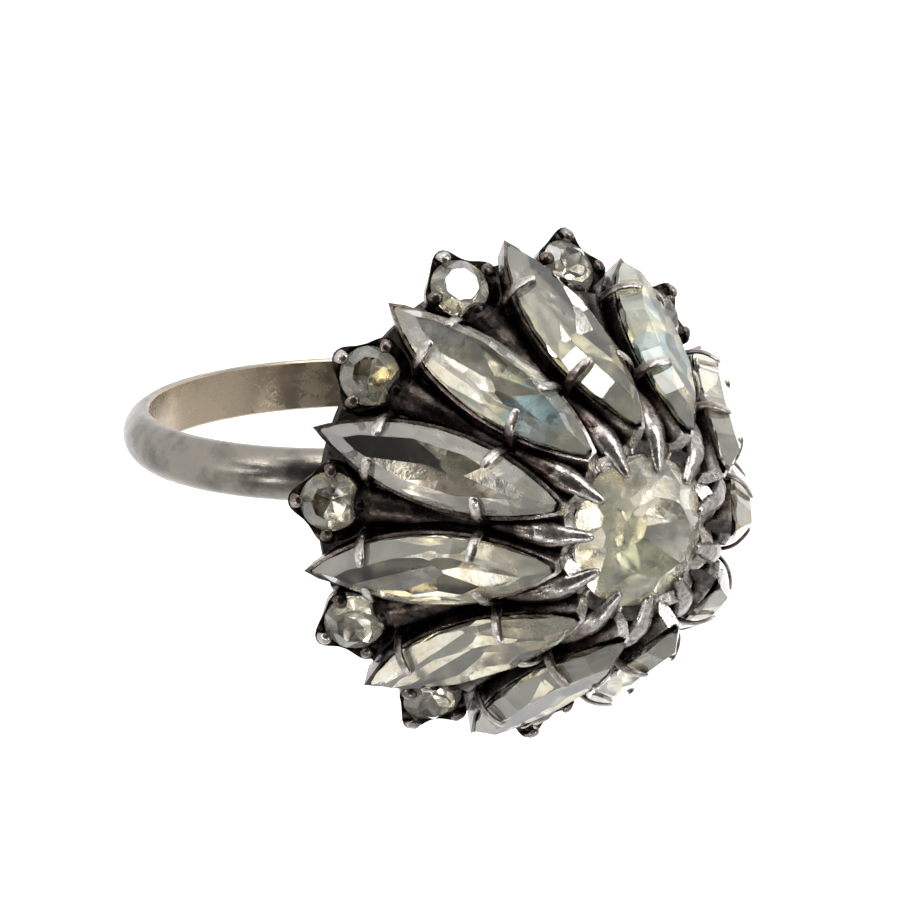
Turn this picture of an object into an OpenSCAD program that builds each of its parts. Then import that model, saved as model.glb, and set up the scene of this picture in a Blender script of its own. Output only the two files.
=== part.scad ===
// Cocktail ring: a plain band under a steep dome of eleven navette stones,
// with eleven small round stones on the rim and one large round stone on top.
// Origin at the centre of the finger bore, +Z out through the dome, +Y along the bore.

/* [Band] */
// Inside diameter of the band, the ring size
finger_d = 17.3; // [14.5:0.1:19]
// Width of the band along the finger
band_w = 2.24; // [1.9:0.02:3.2]
// Thickness of the band at its crown
band_t = 1.15; // [0.9:0.05:1.6]

/* [Dome] */
// Number of navette stones round the dome
petals = 11; // [11]
// Radius of the circle through the outer tips of the navettes
tip_r = 10.22; // [9.9:0.02:11.4]
// Height of the outer tips above the centre of the bore
tip_z = 13.78; // [13.2:0.02:15.4]
// Steepness of the navettes, measured from the plane of the rim
slope = 57.4; // [56:0.1:59]
// Thickness of the dome's shell
shell_t = 1.0; // [0.8:0.05:1.2]
// Turn of the head on the band, as it was soldered
head_turn = 27.2; // [0:0.1:33]

/* [Navette stones] */
// Length of a navette from tip to tip
navette_l = 11; // [10.4:0.02:11.4]
// Width of a navette
navette_w = 2.9; // [2.4:0.05:3]
// Height of a navette's crown above its girdle
navette_crown = 0.75; // [0.6:0.05:0.9]
// Depth of a navette below its girdle
navette_pavilion = 1.0; // [0.8:0.05:1.05]

/* [Rim stones] */
// Diameter of a rim stone
chaton_d = 2.4; // [2:0.05:2.5]
// Radius of the circle through the rim stones
chaton_r = 9.35; // [9.3:0.01:9.6]
// Outward lean of the rim stones from the axis of the dome
chaton_lean = 36; // [30:1:42]

/* [Centre stone] */
// Diameter of the centre stone
centre_d = 6.1; // [5.2:0.05:6.2]
// Height of the centre stone's crown above its girdle
centre_crown = 1.4; // [1.1:0.05:1.6]
// Number of claws over the centre stone
claws = 11; // [11]

/* [Hidden] */
$fn = 96;

metal = [0.42, 0.39, 0.37];
band_metal = [0.66, 0.63, 0.60];
glass = [0.78, 0.80, 0.74];

fit = 0.03;             // clearance between a stone and the metal round it
seat_gap = 0.02;        // clearance between a cup and the wall of its seat
cup_wall = 0.25;        // wall of a navette cup
cup_floor = 0.2;        // floor under a navette
cup_gap = 0.04;         // gap between neighbouring navette cups
step = 360 / petals;
half_step = step / 2;

// Band
bore_r = finger_d / 2;
band_r = bore_r + band_t;
band_wall = 0.35;       // straight side of the band below its crown
flat_z = band_r - 0.3;  // solder flat on top of the band

// Frame of a navette: t runs down the dome from the middle, o is the outward offset
run = [cos(slope), -sin(slope)];
out = [sin(slope), cos(slope)];
middle = [tip_r, tip_z] - run * navette_l / 2;
function at(t, o) = middle + t * run + o * out;
function offset_t(o, z) = (middle[1] + o * out[1] - z) / -run[1];

cup_depth = navette_pavilion + cup_floor;
sunk = 0.55;            // how far a navette cup sits down into the shell
skin_o = -cup_depth + sunk;
inner_o = skin_o - shell_t;
rim_t = navette_l / 2 - 0.33;

// Centre stone and its cup
girdle_z = tip_z + 8.54;
centre_r = centre_d / 2;
centre_pavilion = 1.45;
centre_floor = 0.2;
plate_z = girdle_z - centre_pavilion - centre_floor;
plate_t = 1.0;
collar_r = centre_r + 0.33;
claw_reach = 0.55;      // fraction of the crown that a claw covers

// Rim stones
chaton_half = chaton_d / 2;
chaton_crown = 0.45;
chaton_pavilion = 0.85;
chaton_floor = 0.2;
chaton_depth = chaton_pavilion + chaton_floor;
chaton_z = tip_z + 0.42;
corner_r = 1.65;        // centre of a rim cup to the point of a corner

// Gallery
foot_t = 0.8;
foot_r = 3.0;
rim_bottom = tip_z - 0.75;
lip_t = 0.6;

// Radius of the arcs of a lens of half length a and half width b, and its width at x
function lens_r(a, b) = (a * a + b * b) / (2 * b);
function lens_y(a, b, x) = sqrt(pow(lens_r(a, b), 2) - x * x) - lens_r(a, b) + b;
function lens_turn(a, b, x) = -asin(x / lens_r(a, b));

module lens(a, b, parts = 720) {
    r = lens_r(a, b);
    intersection() {
        translate([0, r - b]) circle(r, $fn = parts);
        translate([0, b - r]) circle(r, $fn = parts);
    }
}

// Places a navette's own frame (x down the dome, z outward) at position i
module on_petal(i) {
    rotate([0, 0, i * step])
        translate([middle[0], 0, middle[1]])
            rotate([0, slope, 0]) children();
}

// Places a rim stone's own frame (z outward, origin at its girdle) at position i
module on_rim(i) {
    rotate([0, 0, (i + 0.5) * step])
        translate([chaton_r, 0, chaton_z])
            rotate([0, chaton_lean, 0]) children();
}

// A bent strip whose outline is given as [across, up], w wide
module strip(points, w) {
    rotate([90, 0, 90]) linear_extrude(w, center = true) polygon(points);
}

module shank() {
    crown_half = band_w / 2;
    rise = band_t - band_wall;
    crown_r = (crown_half * crown_half + rise * rise) / (2 * rise);
    color(band_metal) difference() {
        rotate([90, 0, 0]) rotate_extrude($fn = 180) intersection() {
            translate([bore_r, -crown_half]) square([band_t, band_w]);
            translate([band_r - crown_r, 0]) circle(crown_r, $fn = 180);
        }
        translate([-band_r, -band_w, flat_z]) cube([2 * band_r, 2 * band_w, band_t]);
    }
}

// Open basket between the band and the rim of the dome
module gallery() {
    lip_in = at(rim_t, inner_o)[0] - 0.35;
    lip_out = at(rim_t, skin_o)[0] - 0.6;
    bury = 0.15;            // how far a rib's ends run into the foot and the lip
    reach = (lip_in + lip_out) / 2 - foot_r;
    climb = rim_bottom - lip_t / 2 - flat_z - bury;
    sweep_r = (reach * reach + climb * climb) / (2 * climb);
    rib_t = 0.7;
    rib_w = 1.5;
    color(metal) {
        translate([0, 0, flat_z]) cylinder(h = foot_t + bury, r = foot_r + 0.3);
        translate([0, 0, rim_bottom - lip_t]) difference() {
            cylinder(h = lip_t, r = lip_out);
            translate([0, 0, -1]) cylinder(h = lip_t + 2, r = lip_in);
        }
        for (i = [0:petals - 1]) rotate([90, 0, (i + 0.5) * step])
            linear_extrude(rib_w, center = true) intersection() {
                translate([foot_r - 0.3, flat_z + bury])
                    square([lip_out - bury - foot_r + 0.3, rim_bottom - 2 * bury - flat_z]);
                translate([foot_r, flat_z + bury / 2 + sweep_r]) difference() {
                    circle(sweep_r, $fn = 180);
                    circle(sweep_r - rib_t, $fn = 180);
                }
            }
    }
}

// Metal web between two navettes, wide at the rim and narrow at the top
module web(i) {
    on_petal(i + 0.5) {
        foot = [3.0, 0, -cup_depth];
        translate(foot) sphere(r = 1.0);
        translate(foot) rotate([0, -90, 0]) cylinder(h = 4.6, r1 = 1.0, r2 = 0.4);
    }
}

module dome() {
    top_in = offset_t(inner_o, plate_z - plate_t);
    top_out = offset_t(skin_o, plate_z);
    profile = [
        at(rim_t, skin_o),
        at(rim_t, inner_o - 0.6),
        at(rim_t - 2.7, inner_o - 0.6),
        at(rim_t - 3.7, inner_o),
        at(top_in, inner_o),
        [0, plate_z - plate_t],
        [0, plate_z],
        at(top_out, skin_o)];
    color(metal) difference() {
        union() {
            rotate_extrude() polygon(profile);
            for (i = [0:petals - 1]) web(i);
        }
        for (i = [0:petals - 1]) {
            on_petal(i) translate([0, 0, -cup_depth]) linear_extrude(3)
                lens(navette_l / 2 + cup_wall + fit + seat_gap,
                     navette_w / 2 + cup_wall + fit + seat_gap);
            on_rim(i) translate([0, 0, -chaton_depth])
                cylinder(h = 4, r = corner_r + seat_gap);
        }
        translate([0, 0, plate_z]) cylinder(h = 6, r = collar_r + 0.35 + seat_gap);
        cylinder(h = rim_bottom, r = 20);
    }
}

module centre_cup() {
    table_r = centre_r * 0.5;
    side = [centre_r - table_r, centre_crown];
    lean = [side[1], side[0]] / norm(side);
    tip = [centre_r, girdle_z] + claw_reach * [-side[0], side[1]] + fit * lean;
    claw = [
        [centre_r + fit, girdle_z - 0.9],
        [centre_r + fit, girdle_z],
        tip,
        tip + 0.28 * lean + [0.05, 0],
        [centre_r + 0.42, girdle_z + 0.3],
        [centre_r + 0.62, girdle_z - 0.4],
        [collar_r, girdle_z - 1.5]];
    color(metal) {
        difference() {
            translate([0, 0, plate_z]) cylinder(h = girdle_z - plate_z, r = collar_r);
            translate([0, 0, plate_z + centre_floor])
                cylinder(h = centre_pavilion + 1, r = centre_r + fit);
        }
        for (i = [0:claws - 1]) rotate([0, 0, (i + 0.5) * 360 / claws - 90])
            strip(claw, 0.55);
    }
}

module centre_stone() {
    color(glass) hull() {
        translate([0, 0, girdle_z - 0.12]) cylinder(h = 0.12, r = centre_r, $fn = 48);
        translate([0, 0, girdle_z + centre_crown - 0.02])
            cylinder(h = 0.02, r = centre_r * 0.5, $fn = 8);
        translate([0, 0, plate_z + centre_floor]) cylinder(h = 0.02, r = 0.5, $fn = 8);
    }
}

// Prong on the side of a navette at distance x from its middle
module navette_prong(x, side) {
    a = navette_l / 2;
    b = navette_w / 2;
    bevel = [0.53, navette_crown - 0.1];
    lean = [bevel[1], bevel[0]] / norm(bevel);
    tip = [0, 0.1] + 0.55 * [-bevel[0], bevel[1]] + 0.05 * lean;
    hook = [
        [fit, -0.6],
        [fit + 0.02, 0.1],
        tip,
        tip + 0.22 * lean,
        [cup_wall + fit + 0.02, 0.2],
        [cup_wall + fit + 0.02, -0.45],
        [cup_wall / 2 + fit, -0.6]];
    mirror([0, side < 0 ? 1 : 0, 0])
        translate([x, lens_y(a, b, x), 0]) rotate([0, 0, lens_turn(a, b, x)])
            strip(hook, 0.5);
}

module navette_cup(i) {
    a = navette_l / 2 + fit;
    b = navette_w / 2 + fit;
    color(metal) difference() {
        on_petal(i) {
            difference() {
                translate([0, 0, -cup_depth]) linear_extrude(cup_depth + 0.05)
                    lens(a + cup_wall, b + cup_wall);
                translate([0, 0, -navette_pavilion]) linear_extrude(cup_depth + 1)
                    lens(a, b);
            }
            for (x = [2.9, -2.2]) for (side = [-1, 1]) navette_prong(x, side);
        }
        translate([0, 0, plate_z - 1])
            cylinder(h = 12, r = collar_r + seat_gap + 0.1);
        // neighbouring cups are filed flat where they meet
        for (side = [-1, 1])
            rotate([0, 0, i * step + side * half_step])
                translate([0, side > 0 ? -cup_gap / 2 : cup_gap / 2 - 20, 0])
                    cube([20, 20, 40]);
    }
}

module navette_stone(i) {
    a = navette_l / 2;
    b = navette_w / 2;
    color(glass) on_petal(i) hull() {
        translate([0, 0, -0.08]) linear_extrude(0.16) lens(a, b, 180);
        translate([0, 0, navette_crown - 0.02]) linear_extrude(0.02)
            lens(a - 0.85, b - 0.53, 120);
        translate([0, 0, -navette_pavilion]) linear_extrude(0.02)
            lens(a - 1.6, 0.15, 90);
    }
}

module chaton_cup(i) {
    corner = [
        [chaton_half + fit - 0.1, -chaton_depth],
        [chaton_half + fit + 0.2, -chaton_depth],
        [corner_r, 0],
        [corner_r - 0.12, 0.32],
        [chaton_half - 0.35, chaton_crown + 0.3],
        [chaton_half - 0.42, chaton_crown + 0.06],
        [chaton_half + fit, 0.12],
        [chaton_half + fit, -chaton_depth + 0.1]];
    color(metal) on_rim(i) difference() {
        union() {
            translate([0, 0, -chaton_depth])
                cylinder(h = chaton_depth, r = chaton_half + fit + 0.2);
            for (k = [0:3]) rotate([0, 0, k * 90]) strip(corner, 0.5);
        }
        translate([0, 0, -chaton_pavilion])
            cylinder(h = chaton_pavilion + 0.12, r = chaton_half + fit);
    }
}

module chaton_stone(i) {
    color(glass) on_rim(i) hull() {
        translate([0, 0, -0.1]) cylinder(h = 0.15, r = chaton_half, $fn = 32);
        translate([0, 0, chaton_crown - 0.02])
            cylinder(h = 0.02, r = chaton_half * 0.55, $fn = 8);
        translate([0, 0, -chaton_pavilion]) cylinder(h = 0.02, r = 0.2, $fn = 8);
    }
}

// Turns a piece of the head to the place where it was soldered on the band
module head() {
    rotate([0, 0, head_turn]) children();
}

shank();
head() gallery();
head() dome();
head() centre_cup();
head() centre_stone();
for (i = [1:petals]) {
    number = str(i < 10 ? "0" : "", i);
    head() navette_cup(i);
    head() navette_stone(i);
    head() chaton_cup(i);
    head() chaton_stone(i);
}
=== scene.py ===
"""Cocktail ring: a plain band under a steep dome of navette stones.

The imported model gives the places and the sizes. This script builds the polished
pieces round it: cut stones with foiled backs, boat-shaped settings with prongs,
star-shaped rim settings, the claws over the centre stone, and the band.
"""
import logging
import math
import random
from dataclasses import dataclass, field
from enum import Enum
from typing import Callable, Iterable, Sequence

import bpy
from mathutils import Matrix, Vector


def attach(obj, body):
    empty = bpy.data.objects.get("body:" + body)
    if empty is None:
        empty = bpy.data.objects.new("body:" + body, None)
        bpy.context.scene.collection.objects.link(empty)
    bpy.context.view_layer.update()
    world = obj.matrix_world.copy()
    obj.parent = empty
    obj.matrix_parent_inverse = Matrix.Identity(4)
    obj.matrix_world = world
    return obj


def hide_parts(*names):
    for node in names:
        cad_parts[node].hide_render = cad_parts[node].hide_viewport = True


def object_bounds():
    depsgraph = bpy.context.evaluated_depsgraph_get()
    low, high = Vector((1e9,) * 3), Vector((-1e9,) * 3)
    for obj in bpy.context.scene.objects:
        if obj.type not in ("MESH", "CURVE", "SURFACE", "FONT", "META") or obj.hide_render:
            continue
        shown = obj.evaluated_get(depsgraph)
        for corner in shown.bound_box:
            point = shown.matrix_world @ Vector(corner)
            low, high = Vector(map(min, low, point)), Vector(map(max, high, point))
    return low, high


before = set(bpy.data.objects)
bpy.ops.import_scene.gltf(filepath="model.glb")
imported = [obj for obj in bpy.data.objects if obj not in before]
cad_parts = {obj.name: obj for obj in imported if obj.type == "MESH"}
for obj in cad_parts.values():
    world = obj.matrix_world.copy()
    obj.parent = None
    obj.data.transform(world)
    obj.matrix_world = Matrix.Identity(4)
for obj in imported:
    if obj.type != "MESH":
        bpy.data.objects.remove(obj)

CAD_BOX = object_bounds()
LOG = logging.getLogger("cocktail_ring")
MM = 0.001
BODY = "root"
Z_AXIS = Vector((0.0, 0.0, 1.0))


# ---------------------------------------------------------------- layout


@dataclass(frozen=True)
class HeadLayout:
    """Where the stones sit on the dome, in millimetres and degrees."""

    petals: int = 11
    turn: float = 27.2
    slope: float = 57.4
    tip_r: float = 10.22
    tip_z: float = 13.78
    navette_length: float = 11.0
    navette_width: float = 2.9
    rim_r: float = 9.35
    rim_z: float = 14.20
    rim_lean: float = 36.0
    centre_z: float = 22.32

    @property
    def step(self) -> float:
        """Angle between one petal and the next."""
        return 360.0 / self.petals

    @property
    def middle(self) -> tuple[float, float]:
        """Radius and height of the middle of a navette's girdle."""
        angle = math.radians(self.slope)
        half = self.navette_length / 2
        return (self.tip_r - half * math.cos(angle), self.tip_z + half * math.sin(angle))

    def petal(self, index: float) -> Matrix:
        """Matrix from a navette's own frame to the ring's frame.

        Args:
            index: Place round the dome; a half lies between two navettes.
        Returns:
            A matrix in millimetres: x runs down the dome and z points outward.
        """
        radius, height = self.middle
        return (
            Matrix.Rotation(math.radians(self.turn + index * self.step), 4, "Z")
            @ Matrix.Translation((radius, 0.0, height))
            @ Matrix.Rotation(math.radians(self.slope), 4, "Y")
        )

    def rim(self, index: float) -> Matrix:
        """Matrix from a rim stone's own frame to the ring's frame.

        Args:
            index: Number of the rim stone, from 0.
        Returns:
            A matrix in millimetres whose z points out through the stone.
        """
        return (
            Matrix.Rotation(math.radians(self.turn + (index + 0.5) * self.step), 4, "Z")
            @ Matrix.Translation((self.rim_r, 0.0, self.rim_z))
            @ Matrix.Rotation(math.radians(self.rim_lean), 4, "Y")
        )

    def spoke(self, index: float) -> Matrix:
        """Matrix that turns a shape drawn in the XZ plane to place index round the axis."""
        return Matrix.Rotation(math.radians(self.turn + index * self.step), 4, "Z")


LAYOUT = HeadLayout()


# ---------------------------------------------------------------- modelling helpers


class Bench:
    """Small tools for modelling at a scale of one unit to the millimetre."""

    @staticmethod
    def clear() -> None:
        """Leaves edit mode and deselects everything."""
        if bpy.context.mode != "OBJECT":
            bpy.ops.object.mode_set(mode="OBJECT")
        bpy.ops.object.select_all(action="DESELECT")

    @staticmethod
    def take(name: str) -> bpy.types.Object:
        """Names the active object and its mesh, and returns it."""
        made = bpy.context.active_object
        made.name = name
        made.data.name = name
        return made

    @staticmethod
    def edit(piece: bpy.types.Object) -> None:
        """Makes piece the only selected object and opens it in edit mode."""
        Bench.clear()
        piece.select_set(True)
        bpy.context.view_layer.objects.active = piece
        bpy.ops.object.mode_set(mode="EDIT")

    @staticmethod
    def pick(piece: bpy.types.Object, test: Callable[[Vector], bool]) -> None:
        """Selects the vertices whose place passes test; piece is in edit mode.

        Args:
            piece: The object being edited.
            test: Says whether a vertex at this place is wanted.
        """
        bpy.ops.mesh.select_mode(type="VERT")
        bpy.ops.mesh.select_all(action="DESELECT")
        bpy.ops.object.mode_set(mode="OBJECT")
        for vertex in piece.data.vertices:
            vertex.select = test(vertex.co)
        bpy.ops.object.mode_set(mode="EDIT")

    @staticmethod
    def settle(piece: bpy.types.Object) -> None:
        """Merges doubles and makes every face of piece point outwards."""
        Bench.edit(piece)
        bpy.ops.mesh.select_all(action="SELECT")
        bpy.ops.mesh.remove_doubles(threshold=1e-4)
        bpy.ops.mesh.normals_make_consistent(inside=False)
        Bench.clear()

    @staticmethod
    def apply(piece: bpy.types.Object) -> None:
        """Applies every modifier on piece."""
        Bench.clear()
        piece.select_set(True)
        bpy.context.view_layer.objects.active = piece
        for modifier in list(piece.modifiers):
            bpy.ops.object.modifier_apply(modifier=modifier.name)

    @staticmethod
    def smooth(piece: bpy.types.Object, levels: int, angle: float = 50.0) -> None:
        """Subdivides piece and shades it smooth below an angle.

        Args:
            piece: The object to finish.
            levels: Subdivision levels, or 0 for none.
            angle: Edges sharper than this stay sharp, in degrees.
        """
        if levels:
            modifier = piece.modifiers.new("rounding", "SUBSURF")
            modifier.levels = modifier.render_levels = levels
        Bench.apply(piece)
        bpy.ops.object.shade_smooth_by_angle(angle=math.radians(angle))

    @staticmethod
    def place(template: bpy.types.Object, name: str, matrix: Matrix) -> bpy.types.Object:
        """Copies template with its own mesh to its place in the ring's frame.

        Args:
            template: A shape in millimetres.
            name: Name of the new piece.
            matrix: Its place, in millimetres.
        Returns:
            The new piece, in metres, with its object at the origin.
        """
        mesh = template.data.copy()
        mesh.transform(Matrix.Scale(MM, 4) @ matrix)
        mesh.name = name
        piece = bpy.data.objects.new(name, mesh)
        bpy.context.scene.collection.objects.link(piece)
        return piece

    @staticmethod
    def clone(template: bpy.types.Object, matrix: Matrix) -> bpy.types.Object:
        """Copies template with its own mesh, still in millimetres, to be joined later.

        Args:
            template: A shape in millimetres.
            matrix: Where the copy goes.
        Returns:
            The copy.
        """
        copy = template.copy()
        copy.data = template.data.copy()
        bpy.context.scene.collection.objects.link(copy)
        copy.data.transform(matrix)
        return copy

    @staticmethod
    def join(parts: Sequence[bpy.types.Object], name: str) -> bpy.types.Object:
        """Joins parts into one object.

        Args:
            parts: The objects, which are used up.
            name: Name of the result.
        Returns:
            The joined object.
        """
        Bench.clear()
        for part in parts:
            part.select_set(True)
        bpy.context.view_layer.objects.active = parts[0]
        bpy.ops.object.join()
        return Bench.take(name)

    @staticmethod
    def drop(*templates: bpy.types.Object) -> None:
        """Removes templates that have been copied."""
        for template in templates:
            mesh = template.data
            bpy.data.objects.remove(template)
            bpy.data.meshes.remove(mesh)

    @staticmethod
    def finish(
        piece: bpy.types.Object,
        slot: str,
        materials: Iterable[bpy.types.Material],
        *nodes: str,
    ) -> bpy.types.Object:
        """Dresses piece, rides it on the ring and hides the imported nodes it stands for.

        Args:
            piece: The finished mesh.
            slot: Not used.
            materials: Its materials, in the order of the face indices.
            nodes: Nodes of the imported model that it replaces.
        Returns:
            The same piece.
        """
        for material in materials:
            piece.data.materials.append(material)
        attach(piece, BODY)
        if nodes:
            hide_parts(*nodes)
        LOG.info("made %s with %d faces", piece.name, len(piece.data.polygons))
        return piece


class Horn:
    """A bent, tapering rod in the XZ plane, such as a prong, a claw or a web."""

    def __init__(self, name: str, sides: int = 8) -> None:
        """Starts a horn with that many sides."""
        self.name = name
        self.sides = sides

    def grow(
        self, stations: Sequence[tuple[float, float, float]], flatness: float = 1.0
    ) -> bpy.types.Object:
        """Extrudes a section through the stations.

        Args:
            stations: (x, z, radius) of each section; the rod runs from first to last.
            flatness: Thickness over width of the section.
        Returns:
            The rod, closed at both ends, with its width along Y.
        """
        points = [Vector((x, 0.0, z)) for x, z, _ in stations]
        headings = []
        for i, _ in enumerate(points):
            before = points[max(i - 1, 0)]
            after = points[min(i + 1, len(points) - 1)]
            step = after - before
            headings.append(math.atan2(step.x, step.z))
        Bench.clear()
        bpy.ops.mesh.primitive_circle_add(
            vertices=self.sides, radius=stations[0][2], fill_type="NGON"
        )
        rod = Bench.take(self.name)
        rod.data.transform(
            Matrix.Translation(points[0])
            @ Matrix.Rotation(headings[0], 4, "Y")
            @ Matrix.Diagonal((flatness, 1.0, 1.0, 1.0))
        )
        Bench.edit(rod)
        bpy.ops.mesh.select_all(action="SELECT")
        for i in range(1, len(points)):
            bpy.ops.mesh.extrude_region_move(
                TRANSFORM_OT_translate={"value": points[i] - points[i - 1]}
            )
            ratio = stations[i][2] / stations[i - 1][2]
            bpy.ops.transform.resize(value=(ratio,) * 3, center_override=points[i])
            bpy.ops.transform.rotate(
                value=-(headings[i] - headings[i - 1]),
                orient_axis="Y",
                orient_type="GLOBAL",
                center_override=points[i],
            )
        Bench.settle(rod)
        return rod


class FoilSlot(Enum):
    """Order of the materials on every stone."""

    GLASS = 0
    TONED = 1
    FRESH = 2
    DARK = 3
    WORN_GLASS = 4


class GemCutter:
    """Cuts a stone out of a block, one flat facet at a time."""

    def __init__(self, name: str, length: float, width: float, height: float) -> None:
        """Starts from a block of that size, centred on the origin."""
        Bench.clear()
        bpy.ops.mesh.primitive_cube_add(size=1.0)
        self.stone = Bench.take(name)
        self.stone.data.transform(Matrix.Diagonal((length, width, height, 1.0)))
        Bench.edit(self.stone)

    def facet(self, point: Sequence[float], normal: Sequence[float]) -> None:
        """Grinds away all that lies beyond a plane.

        Args:
            point: A point on the facet.
            normal: The way the facet faces.
        """
        bpy.ops.mesh.select_all(action="SELECT")
        bpy.ops.mesh.bisect(
            plane_co=point, plane_no=normal, use_fill=True, clear_outer=True, threshold=1e-5
        )

    def round_off(self, radius: float, steps: int) -> None:
        """Cuts an upright outline that is nearly round.

        Args:
            radius: Radius of the outline.
            steps: Number of flats round it.
        """
        for i in range(steps):
            normal = lean(i * 360 / steps, 90)
            self.facet(normal * radius, normal)

    def done(self) -> bpy.types.Object:
        """Returns the cut stone, flat shaded, with its foiled faces as material 1."""
        Bench.settle(self.stone)
        for face in self.stone.data.polygons:
            face.use_smooth = False
            if face.normal.z < -0.1:
                face.material_index = FoilSlot.TONED.value
            elif 0.25 < face.normal.z < 0.97:
                face.material_index = FoilSlot.WORN_GLASS.value
        return self.stone

    @staticmethod
    def vary_foil(gem: bpy.types.Object, fresh: float, dark: float, seed: int) -> None:
        """Makes the foil fresh or black on some of a stone's back facets.

        Args:
            gem: The stone.
            fresh: Share of the facets with fresh foil, from 0 to 1.
            dark: Share of the facets with black foil.
            seed: Number that decides which facets.
        """
        draw = random.Random(seed)
        for face in gem.data.polygons:
            if face.material_index == FoilSlot.TONED.value:
                chance = draw.random()
                if chance < fresh:
                    face.material_index = FoilSlot.FRESH.value
                elif chance < fresh + dark:
                    face.material_index = FoilSlot.DARK.value


def lean(angle: float, tilt: float) -> Vector:
    """Direction at an angle round z, in degrees from +x, tilted from the vertical."""
    a, t = math.radians(angle), math.radians(tilt)
    return Vector((math.cos(a) * math.sin(t), math.sin(a) * math.sin(t), math.cos(t)))


# ---------------------------------------------------------------- materials


class Nodes:
    """Builds one node material in millimetre object coordinates."""

    def __init__(self, name: str) -> None:
        """Starts an empty material with a Principled shader."""
        self.material = bpy.data.materials.new(name)
        self.material.use_nodes = True
        self.tree = self.material.node_tree
        self.tree.nodes.clear()
        self.output = self.tree.nodes.new("ShaderNodeOutputMaterial")
        self.shader = self.tree.nodes.new("ShaderNodeBsdfPrincipled")
        self.join(self.shader.outputs[0], self.output.inputs["Surface"])
        coordinates = self.tree.nodes.new("ShaderNodeTexCoord")
        mapping = self.tree.nodes.new("ShaderNodeMapping")
        mapping.inputs["Scale"].default_value = (1 / MM,) * 3
        self.join(coordinates.outputs["Object"], mapping.inputs["Vector"])
        self.place = mapping.outputs["Vector"]

    def join(self, start: bpy.types.NodeSocket, end: bpy.types.NodeSocket) -> None:
        """Links an output to an input."""
        self.tree.links.new(start, end)

    def noise(
        self, scale: float, detail: float = 3.0, rough: float = 0.55, warp: float = 0.0
    ) -> bpy.types.NodeSocket:
        """Adds a noise texture.

        Args:
            scale: Its features are about 1/scale millimetres across.
            detail: Number of finer octaves.
            rough: Strength of the finer octaves.
            warp: How far the noise bends itself.
        Returns:
            The noise's factor.
        """
        node = self.tree.nodes.new("ShaderNodeTexNoise")
        node.inputs["Scale"].default_value = scale
        node.inputs["Detail"].default_value = detail
        node.inputs["Roughness"].default_value = rough
        node.inputs["Distortion"].default_value = warp
        self.join(self.place, node.inputs["Vector"])
        return node.outputs["Fac"]

    def ramp(
        self, source: bpy.types.NodeSocket, *stops: tuple[float, tuple[float, float, float]]
    ) -> bpy.types.NodeSocket:
        """Adds a colour ramp.

        Args:
            source: The value that runs along the ramp.
            stops: Place and colour of each stop.
        Returns:
            The ramp's colour.
        """
        node = self.tree.nodes.new("ShaderNodeValToRGB")
        elements = node.color_ramp.elements
        while len(elements) < len(stops):
            elements.new(0.5)
        for element, (place, colour) in zip(elements, stops):
            element.position = place
            element.color = (*colour, 1.0)
        self.join(source, node.inputs["Fac"])
        return node.outputs["Color"]

    def levels(
        self, source: bpy.types.NodeSocket, low: float, high: float, to_low: float, to_high: float
    ) -> bpy.types.NodeSocket:
        """Maps one range of values to another, clamped.

        Args:
            source: The value to map.
            low: Start of its range.
            high: End of its range.
            to_low: What the start becomes.
            to_high: What the end becomes.
        Returns:
            The mapped value.
        """
        node = self.tree.nodes.new("ShaderNodeMapRange")
        for name, value in (
            ("From Min", low), ("From Max", high), ("To Min", to_low), ("To Max", to_high)
        ):
            node.inputs[name].default_value = value
        self.join(source, node.inputs["Value"])
        return node.outputs["Result"]

    def maths(
        self,
        operation: str,
        first: bpy.types.NodeSocket,
        second: bpy.types.NodeSocket | float | None = None,
    ) -> bpy.types.NodeSocket:
        """Adds one Math node.

        Args:
            operation: Name of the operation.
            first: Its first value.
            second: Its second value, if it takes one.
        Returns:
            The node's value.
        """
        node = self.tree.nodes.new("ShaderNodeMath")
        node.operation = operation
        self.join(first, node.inputs[0])
        if isinstance(second, (int, float)):
            node.inputs[1].default_value = second
        elif second is not None:
            self.join(second, node.inputs[1])
        return node.outputs[0]

    def mix(
        self,
        amount: bpy.types.NodeSocket | float,
        first: bpy.types.NodeSocket | tuple[float, float, float],
        second: bpy.types.NodeSocket | tuple[float, float, float],
        blend: str = "MIX",
    ) -> bpy.types.NodeSocket:
        """Mixes two colours.

        Args:
            amount: Share of the second colour.
            first: The first colour.
            second: The second colour.
            blend: Name of the blend mode.
        Returns:
            The mixed colour.
        """
        node = self.tree.nodes.new("ShaderNodeMix")
        node.data_type = "RGBA"
        node.blend_type = blend
        pairs = ((node.inputs[0], amount), (node.inputs[6], first), (node.inputs[7], second))
        for socket, value in pairs:
            if isinstance(value, bpy.types.NodeSocket):
                self.join(value, socket)
            elif isinstance(value, tuple):
                socket.default_value = (*value, 1.0)
            else:
                socket.default_value = value
        return node.outputs[2]

    def bump(self, height: bpy.types.NodeSocket, strength: float, depth_mm: float) -> None:
        """Bumps the shader's normal by a height field.

        Args:
            height: The height, from 0 to 1.
            strength: Strength of the bump.
            depth_mm: Depth that a height of 1 stands for.
        """
        node = self.tree.nodes.new("ShaderNodeBump")
        node.inputs["Strength"].default_value = strength
        node.inputs["Distance"].default_value = depth_mm * MM
        self.join(height, node.inputs["Height"])
        self.join(node.outputs["Normal"], self.shader.inputs["Normal"])

    def axes(self) -> bpy.types.bpy_prop_collection:
        """Returns the outputs x, y and z of the place, in millimetres."""
        split = self.tree.nodes.new("ShaderNodeSeparateXYZ")
        self.join(self.place, split.inputs[0])
        return split.outputs

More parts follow.
